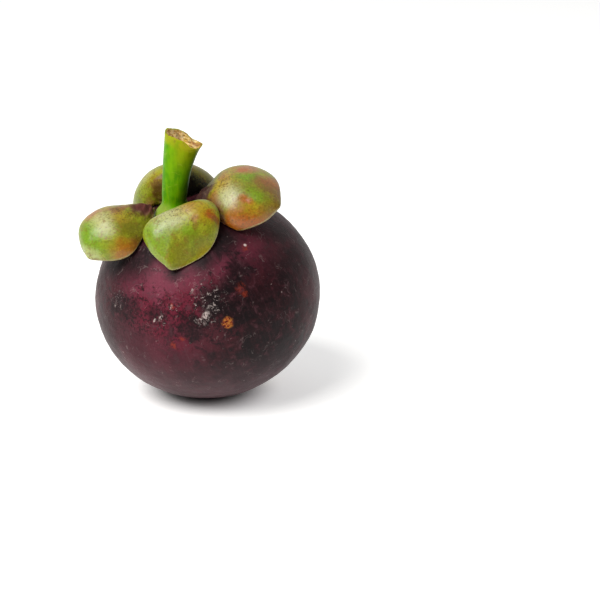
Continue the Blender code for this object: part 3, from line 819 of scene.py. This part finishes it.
# Angles in degrees. A dent is along, across, width and depth as a share of the bowl. A knot is along, across,
# width and height. A hem is the angle and its spread, and the depth.
SEPALS = {
    "sepal_front": dict(
        compass=-75.4, twist=0.8, rise=-11.1, roll=-0.6, reach=5.78 * MM, seat=-0.22 * MM,
        length=14.62 * MM, width=20.19 * MM, height=7.86 * MM, droop=2.96 * MM, curl=-3.45 * MM,
        point=2.32 * MM, point_turn=-34.0, neck=0.0, egg=-0.07, cheek=0.08,
        dents=((0.34, 0.80, 0.08, 0.02), (0.38, 0.38, 0.12, 0.01)), knots=(), hems=(),
    ),
    "sepal_right": dict(
        compass=-4.6, twist=1.7, rise=22.3, roll=17.4, reach=10.15 * MM, seat=-4.3 * MM,
        length=18.08 * MM, width=22.18 * MM, height=7.81 * MM, droop=3.86 * MM, curl=-0.4 * MM,
        point=1.39 * MM, point_turn=-38.0, neck=6.0 * MM, egg=0.01, cheek=0.0,
        dents=((0.40, -0.58, 0.07, 0.03), (0.75, -0.10, 0.20, 0.01)),
        knots=((-0.84, 0.30, 0.32, 2.2 * MM),),
        hems=((-62.0, 0.4, 1.2 * MM),),
    ),
    "sepal_back": dict(
        compass=96.3, twist=-1.7, rise=16.5, roll=3.9, reach=5.91 * MM, seat=0.03 * MM,
        length=19.56 * MM, width=23.28 * MM, height=7.82 * MM, droop=10.0 * MM, curl=3.51 * MM,
        point=0.57 * MM, point_turn=0.0, neck=0.1 * MM, egg=0.13, cheek=0.0,
        dents=((-0.86, 0.44, 0.08, 0.06), (-0.72, 0.20, 0.18, 0.04)), knots=(),
        hems=((-134.0, 0.6, 5.0 * MM), (160.0, 0.50, 3.4 * MM)),
    ),
    "sepal_left": dict(
        compass=190.8, twist=3.9, rise=-13.1, roll=-3.4, reach=7.97 * MM, seat=0.96 * MM,
        length=16.66 * MM, width=20.76 * MM, height=8.05 * MM, droop=-4.22 * MM, curl=1.47 * MM,
        point=1.38 * MM, point_turn=33.0, neck=4.3 * MM, egg=0.07, cheek=0.0,
        dents=((-0.85, 0.15, 0.12, 0.04), (0.20, -0.25, 0.15, 0.01)),
        knots=((-0.98, 0.06, 0.20, 1.2 * MM),),
        hems=(),
    ),
}


def turned(points, rise, roll, twist):
    """Points turned about X by roll, then by rise so that +X lifts, then about Z by twist, all in degrees."""
    rise, roll, twist = np.radians((rise, roll, twist))
    x, y, z = points.T
    y, z = y * np.cos(roll) - z * np.sin(roll), y * np.sin(roll) + z * np.cos(roll)
    x, z = x * np.cos(rise) - z * np.sin(rise), x * np.sin(rise) + z * np.cos(rise)
    x, y = x * np.cos(twist) - y * np.sin(twist), x * np.sin(twist) + y * np.cos(twist)
    return np.stack([x, y, z], axis=-1)


def bell(spread, angle, along, across, width):
    """1 at a place in the plan, falling off all round it as a bell."""
    away = np.hypot(spread * np.cos(angle) - along, spread * np.sin(angle) - across)
    return np.exp(-((away / width) ** 2))


def sepal_points(sepal, seed, t, angle):
    """A bowl, rim down. The plan is an egg round the crest with a point at the tip, a fuller cheek beside it
    and a neck at the root. Each way from the crest, the outer wall is a quarter superellipse down to the rim,
    a half circle turns under, and a smaller quarter superellipse runs back up inside. Outside it is a little
    lumpy, more so near the root, with bells for its dents and crinkled knots. A hem lets the rim down."""
    length = sepal["length"]
    width = sepal["width"]
    turn = np.radians(sepal["point_turn"])
    point = sepal["point"] * bump(angle, turn, SEPAL_POINT_SPREAD)
    point = point + SEPAL_NIB_SHARE * sepal["point"] * bump(angle, turn, SEPAL_NIB_SPREAD)
    fuller = 1.0 + sepal["cheek"] * bump(angle, turn - SEPAL_CHEEK_TURN, SEPAL_CHEEK_SPREAD)
    ahead = fuller * np.cos(angle) * length * (0.5 + (0.5 - SEPAL_CREST) * np.cos(angle))
    aside = fuller * 0.5 * width * np.sin(angle) * (1.0 + sepal["egg"] * np.cos(angle))
    plan = np.hypot(ahead, aside)

    outer = np.clip(t / OUTER_SHARE, 0.0, 1.0) * np.pi / 2
    under = np.clip((t - OUTER_SHARE) / RIM_SHARE, 0.0, 1.0) * np.pi
    inner = np.clip((1.0 - t) / (1.0 - OUTER_SHARE - RIM_SHARE), 0.0, 1.0) * np.pi / 2
    is_inner = t > OUTER_SHARE + RIM_SHARE - 1e-6
    wall = np.where(is_inner, inner, outer)
    spread = np.sin(wall) ** (2.0 / SEPAL_PLAN_ROUNDNESS)
    crown = sepal["height"] - np.where(is_inner, SEPAL_CROWN_THICKNESS, 0.0)
    rise = crown * np.abs(np.cos(wall)) ** (2.0 / SEPAL_CROWN_ROUNDNESS)
    inward = 0.5 * SEPAL_RIM_THICKNESS * (1.0 - np.cos(under))
    spread = spread * (1.0 - inward / plan)
    rise = rise - 0.5 * SEPAL_RIM_THICKNESS * np.sin(under)

    flat = np.stack([spread * ahead, spread * aside, 1.5 * rise], axis=1)
    rootward = (-spread * np.cos(angle) - SEPAL_CRINKLES_START) / (1.0 - SEPAL_CRINKLES_START)
    crinkles = swell(flat, SEPAL_CRINKLE_SIZE, seed + 2) - SEPAL_SINK
    relief = SEPAL_LUMP_SHARE * (swell(flat, SEPAL_LUMP_SIZE, seed) - SEPAL_SINK)
    relief = relief + SEPAL_PIMPLE_SHARE * swell(flat, SEPAL_PIMPLE_SIZE, seed + 1)
    relief = relief + SEPAL_CRINKLE_SHARE * np.clip(rootward, 0.0, 1.0) * crinkles
    for along, across, dent_width, depth in sepal["dents"]:
        relief = relief - depth * bell(spread, angle, along, across, dent_width)
    relief = np.where(is_inner, 0.0, relief * np.cos(0.5 * under))
    spread = spread * (1.0 + relief)
    rise = rise * (1.0 + relief)

    tip = point * spread**SEPAL_TIP_STEEPNESS
    root = sepal["neck"] * bump(angle, np.pi, SEPAL_NECK_SPREAD) * spread**2
    x = SEPAL_CREST * length + spread * ahead + tip * np.cos(turn) - root
    y = spread * aside + tip * np.sin(turn)
    droop = sepal["droop"] * (np.clip(x, 0.0, None) / length) ** 2
    z = rise - droop - sepal["curl"] * (2.0 * y / width) ** 2
    rimward = np.clip((spread - SEPAL_HEM_STARTS) / (1.0 - SEPAL_HEM_STARTS), 0.0, 1.0)
    for hem_angle, hem_spread, depth in sepal["hems"]:
        z = z - depth * bump(angle, np.radians(hem_angle), hem_spread) * rimward
    for along, across, knot_width, height in sepal["knots"]:
        lumpy = 1.0 + SEPAL_KNOT_LUMP_SHARE * swell(flat, SEPAL_KNOT_LUMP_SIZE, seed + 3)
        knot = height * bell(spread, angle, along, across, knot_width) * lumpy
        z = z + np.where(is_inner, 0.0, knot)
    local = turned(np.stack([x, y, z], axis=-1), sepal["rise"], sepal["roll"], sepal["twist"])
    local = local + np.array([sepal["reach"], 0.0, sepal["seat"]])
    local = turned(local, 0.0, 0.0, sepal["compass"])
    points = CALYX_SEAT + local @ np.stack([CALYX_RIGHT, CALYX_BACK, CALYX_UP])
    return lifted_clear(points, SEPAL_SOFT_CONTACT)


def sepal_places(t, angle):
    """How far along towards the tip and across, both from -1 to 1 at the rim, and t as it is."""
    spread = np.sin(np.clip(t / OUTER_SHARE, 0.0, 1.0) * np.pi / 2) ** (2.0 / SEPAL_PLAN_ROUNDNESS)
    return np.stack([spread * np.cos(angle), spread * np.sin(angle), t], axis=1)


LIME = rgb(0.150, 0.285, 0.002)
OLIVE = rgb(0.155, 0.135, 0.003)
GOLD = rgb(0.380, 0.250, 0.005)
BLUSH = rgb(0.380, 0.148, 0.058)
EMBER = rgb(0.360, 0.085, 0.003)
RUSSET = rgb(0.190, 0.055, 0.014)
MAROON = rgb(0.100, 0.020, 0.012)
BARK = rgb(0.085, 0.036, 0.006)
SHADE = rgb(0.006, 0.003, 0.002)
# A pale tint for the painted highlight where the soft box shines on the sepals.
PAINTED_HIGHLIGHT = rgb(0.560, 0.535, 0.290)
# Dark root reds, laid as painted shade where a sepal tucks against its neighbour.
SHADED_ROOT_RED = rgb(0.045, 0.010, 0.008)
SHADED_ROOT_WINE = rgb(0.085, 0.016, 0.014)
LEAF_GREEN = rgb(0.200, 0.225, 0.002)
LEAF_YELLOW = rgb(0.300, 0.320, 0.012)
GRAIN_BROWN = rgb(0.120, 0.100, 0.002)
PALE_FLECK = rgb(0.440, 0.440, 0.040)
RUSTY_LINE = rgb(0.210, 0.095, 0.004)
DOT_BROWN = rgb(0.065, 0.040, 0.004)
PEPPER_BROWN = rgb(0.060, 0.034, 0.006)
PALE_MARGIN = rgb(0.330, 0.280, 0.120)
# Painted shade for the inside of the bowl, which faces the rind.
SHADED_LEAF_INSIDE = rgb(0.110, 0.080, 0.025)
# Places in the plan are along, towards the tip, and across, both 1 at the rim, and radii are in that measure.
# A patch is its tint, place, radius and how much it covers, and on the hem it also has the way that it runs.
# The painted highlight has a place, a radius and how much it covers, the dark pepper a place and a radius, and
# the painted shade where a sepal tucks beside its neighbour a tint, a place and a radius.
SEPAL_LOOKS = {
    "sepal_front": dict(
        gloss=0.55, painted_highlight=(-0.10, -0.22, 0.34, 0.60), pepper=(-0.15, -0.10, 0.34),
        tucked_shade=(BARK, -1.02, 0.10, 0.14),
        patches=(
            (LIME, 0.70, 0.10, 0.22, 0.8), (LIME, 0.30, -0.72, 0.45, 0.8), (GOLD, -0.05, 0.30, 0.30, 0.6),
            (OLIVE, 0.90, -0.25, 0.25, 0.7), (GOLD, 0.25, 0.62, 0.28, 0.9),
            (BLUSH, -0.15, 0.35, 0.20, 0.5), (BLUSH, 0.38, 0.38, 0.10, 0.6),
            (RUSSET, 0.55, 0.33, 0.07, 0.5), (RUSSET, 0.75, -0.02, 0.08, 0.4),
            (OLIVE, 0.88, 0.22, 0.20, 0.7), (EMBER, 0.34, 0.79, 0.13, 1.0),
            (RUSSET, 0.42, 0.86, 0.08, 0.7),
        ),
        hem_patches=((GOLD, 1.00, 0.30, (-0.3, 0.95, 0.0), 0.10, 0.4),),
    ),
    "sepal_right": dict(
        gloss=0.55, painted_highlight=(0.04, -0.34, 0.28, 0.60), pepper=(-0.05, 0.12, 0.34),
        tucked_shade=(SHADED_ROOT_RED, -0.76, 0.22, 0.36),
        patches=(
            (OLIVE, 0.55, -0.35, 0.55, 0.6), (GOLD, -0.05, 0.05, 0.28, 0.9),
            (RUSSET, 0.12, 0.16, 0.12, 0.4), (LIME, 0.62, 0.06, 0.18, 0.9),
            (LIME, 0.62, -0.50, 0.20, 0.7), (BLUSH, 0.58, 0.40, 0.20, 1.0),
            (EMBER, 0.52, 0.36, 0.09, 0.6), (BLUSH, 0.98, 0.00, 0.18, 0.8),
            (EMBER, 0.92, -0.10, 0.14, 0.5), (EMBER, 0.30, 0.55, 0.12, 0.4),
            (BLUSH, 0.10, 0.38, 0.20, 0.5), (RUSSET, 0.80, -0.05, 0.14, 0.5),
            (RUSSET, 0.93, -0.35, 0.18, 0.7), (GOLD, 0.42, -0.72, 0.16, 0.8),
            (EMBER, 0.40, -0.58, 0.10, 1.0), (EMBER, -0.34, -0.20, 0.16, 0.7),
            (RUSSET, -0.40, -0.45, 0.22, 1.0), (MAROON, -0.48, -0.78, 0.26, 1.0),
            (RUSSET, -0.46, 0.12, 0.16, 0.9), (MAROON, -0.62, 0.05, 0.26, 1.0),
            (SHADE, -0.72, 0.32, 0.36, 1.0),
        ),
        hem_patches=(
            (EMBER, 0.05, -1.00, (1.0, 0.05, 0.0), 0.20, 1.0),
            (EMBER, -0.30, -0.88, (1.0, 0.4, 0.0), 0.12, 0.8),
            (RUSSET, 0.75, -0.72, (0.7, 0.7, 0.0), 0.13, 0.7),
        ),
    ),
    "sepal_back": dict(
        gloss=0.2, painted_highlight=(0.00, 0.50, 0.26, 0.35), pepper=(0.00, 0.55, 0.36),
        tucked_shade=(SHADE, -0.74, -0.62, 0.42),
        patches=(
            (LIME, -0.25, 0.72, 0.25, 0.4), (GOLD, -0.30, 0.35, 0.25, 0.3),
            # Painted shade: the russet and bark by the stalk, at -0.60 and -0.76 along, darken the hollow over
            # its reddish brown.
            (OLIVE, -0.10, -0.75, 0.40, 1.0), (RUSSET, -0.60, 0.25, 0.20, 0.8),
            (BARK, -0.76, 0.28, 0.18, 0.9), (BLUSH, -0.82, 0.62, 0.14, 0.7),
            (SHADE, -0.75, -0.55, 0.42, 1.0), (SHADE, -0.45, -0.95, 0.25, 1.0),
        ),
        hem_patches=((RUSSET, -0.80, 0.80, (0.7, 0.7, 0.0), 0.10, 0.6),),
    ),
    "sepal_left": dict(
        gloss=0.50, painted_highlight=(0.08, 0.28, 0.28, 0.60), pepper=(-0.46, 0.14, 0.26),
        tucked_shade=(SHADED_ROOT_WINE, -0.90, 0.08, 0.20),
        patches=(
            (LIME, 0.62, 0.42, 0.38, 1.0), (OLIVE, -0.45, 0.62, 0.30, 0.8),
            # The blush at 0.25 along and -0.20 across is partly real blush and partly painted reflection of the
            # white room.
            (GOLD, -0.40, 0.35, 0.22, 0.6), (BLUSH, 0.25, -0.20, 0.24, 0.9),
            (BLUSH, -0.20, -0.12, 0.20, 0.5), (RUSSET, -0.40, 0.08, 0.18, 0.8),
            (BLUSH, -0.62, 0.00, 0.12, 0.5), (MAROON, -0.84, 0.10, 0.20, 0.9),
            (RUSSET, -1.00, 0.05, 0.20, 0.9), (EMBER, -0.96, -0.05, 0.08, 0.7),
        ),
        hem_patches=(
            (EMBER, -0.10, 1.00, (1.0, -0.05, 0.0), 0.15, 0.8),
            (RUSSET, -0.50, 0.95, (0.9, 0.4, 0.0), 0.12, 0.8),
            (BLUSH, 0.10, -0.90, (1.0, 0.05, 0.0), 0.16, 0.6),
            # Painted reflection of the white card: the pale mark on the hem near the tip.
            (PAINTED_HIGHLIGHT, 0.80, 0.58, (0.6, -0.8, 0.0), 0.09, 0.5),
        ),
    ),
}
for seed, (sepal_name, sepal) in enumerate(SEPALS.items(), start=31):
    looks = SEPAL_LOOKS[sepal_name]
    leaf = skin(
        sepal_name + "_skin", lambda t, angle: sepal_points(sepal, seed, t, angle),
        columns=128, rings=110, notes=sepal_places,
    )
    leaf_finish, tree, shader, where = finish_tree(sepal_name + "_skin")
    place = node(tree, "Attribute", attribute_name="place").outputs["Vector"]
    plan = vector_sums(tree, "MULTIPLY", place, (1.0, 1.0, 0.0))
    depth = node(tree, "SeparateXYZ", {0: place}).outputs["Z"]
    shift = (seed * SEPAL_PATTERN_SHIFT, 0.0, 0.0)
    shifted = node(tree, "Mapping", {"Vector": where, "Location": shift}).outputs["Vector"]
    clouds = noise(tree, shifted, 3.5 * MM, detail=3.0, roughness=0.55)
    fine = noise(tree, shifted, 0.5 * MM, detail=4.0, roughness=0.7)
    ragged = wavering(tree, noise(tree, shifted, 1.8 * MM, detail=6.0, roughness=0.7), 2.6)
    calmer = times(tree, ragged, 0.5)
    coat = layer(tree, step(tree, clouds, 0.35, 0.65), LEAF_GREEN, LEAF_YELLOW)
    for tint, along, across, radius, share in looks["patches"]:
        patch = mark(tree, plan, (along, across, 0.0), radius, 0.6, ragged)
        coat = wash(tree, coat, tint, patch, share)
    for tint, along, across, way, radius, share in looks["hem_patches"]:
        patch = mark(tree, plan, (along, across, 0.0), radius, 0.6, calmer, way, stretch=0.7)
        coat = wash(tree, coat, tint, patch, share)
    # Painted highlight: a pale patch where the soft box shines on the sepal.
    along, across, radius, share = looks["painted_highlight"]
    coat = wash(tree, coat, PAINTED_HIGHLIGHT, mark(tree, plan, (along, across, 0.0), radius, 0.9, calmer), share)
    coat = wash(tree, coat, GRAIN_BROWN, step(tree, fine, 0.50, 0.38), 0.50)
    coat = wash(tree, coat, PALE_FLECK, step(tree, fine, 0.54, 0.68), 0.28)
    coat = wash(tree, coat, RUSTY_LINE, hairs(tree, shifted, 2.6 * MM, width=0.060, bare=0.51), 0.55)
    small_dots = specks(tree, shifted, 0.80 * MM, share=0.60, width=0.42)
    large_dots = specks(tree, shifted, 1.3 * MM, share=0.35, width=0.34)
    dots = times(tree, sums(tree, "MAXIMUM", small_dots, large_dots), step(tree, clouds, 0.40, 0.60))
    coat = wash(tree, coat, DOT_BROWN, dots, 0.65)
    along, across, radius = looks["pepper"]
    pepper = mark(tree, plan, (along, across, 0.0), radius, 0.9, ragged)
    coat = wash(tree, coat, PEPPER_BROWN, times(tree, pepper, step(tree, fine, 0.47, 0.40)), 0.75)
    # Painted shade where the sepal tucks against its neighbour, in the root's own dark red and wine on the
    # right and left sepals, and matte there.
    tint, along, across, radius = looks["tucked_shade"]
    tucked_shade = mark(tree, plan, (along, across, 0.0), radius, 0.6, calmer)
    coat = wash(tree, coat, tint, tucked_shade, 0.92)
    margin = times(tree, step(tree, depth, 0.530, 0.545), step(tree, fine, 0.30, 0.60))
    coat = wash(tree, coat, PALE_MARGIN, margin)
    # Painted shade inside the bowl, which faces the rind.
    coat = wash(tree, coat, SHADED_LEAF_INSIDE, step(tree, depth, 0.62, 0.68))
    rough = sums(tree, "MAXIMUM", between(tree, fine, 0.22, 0.44), tucked_shade)
    grain = weighed(tree, (fine, 0.8), (dots, -0.3))
    give_finish(tree, shader, coat, rough, grain, strength=0.4, depth=0.12 * MM)
    shader.inputs["Specular IOR Level"].default_value = looks["gloss"]
    let_light_in(shader, 0.12, (1.0 * MM, 1.2 * MM, 0.3 * MM))
    leaf.data.materials.append(leaf_finish)
    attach(leaf, "root")
    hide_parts(sepal_name)
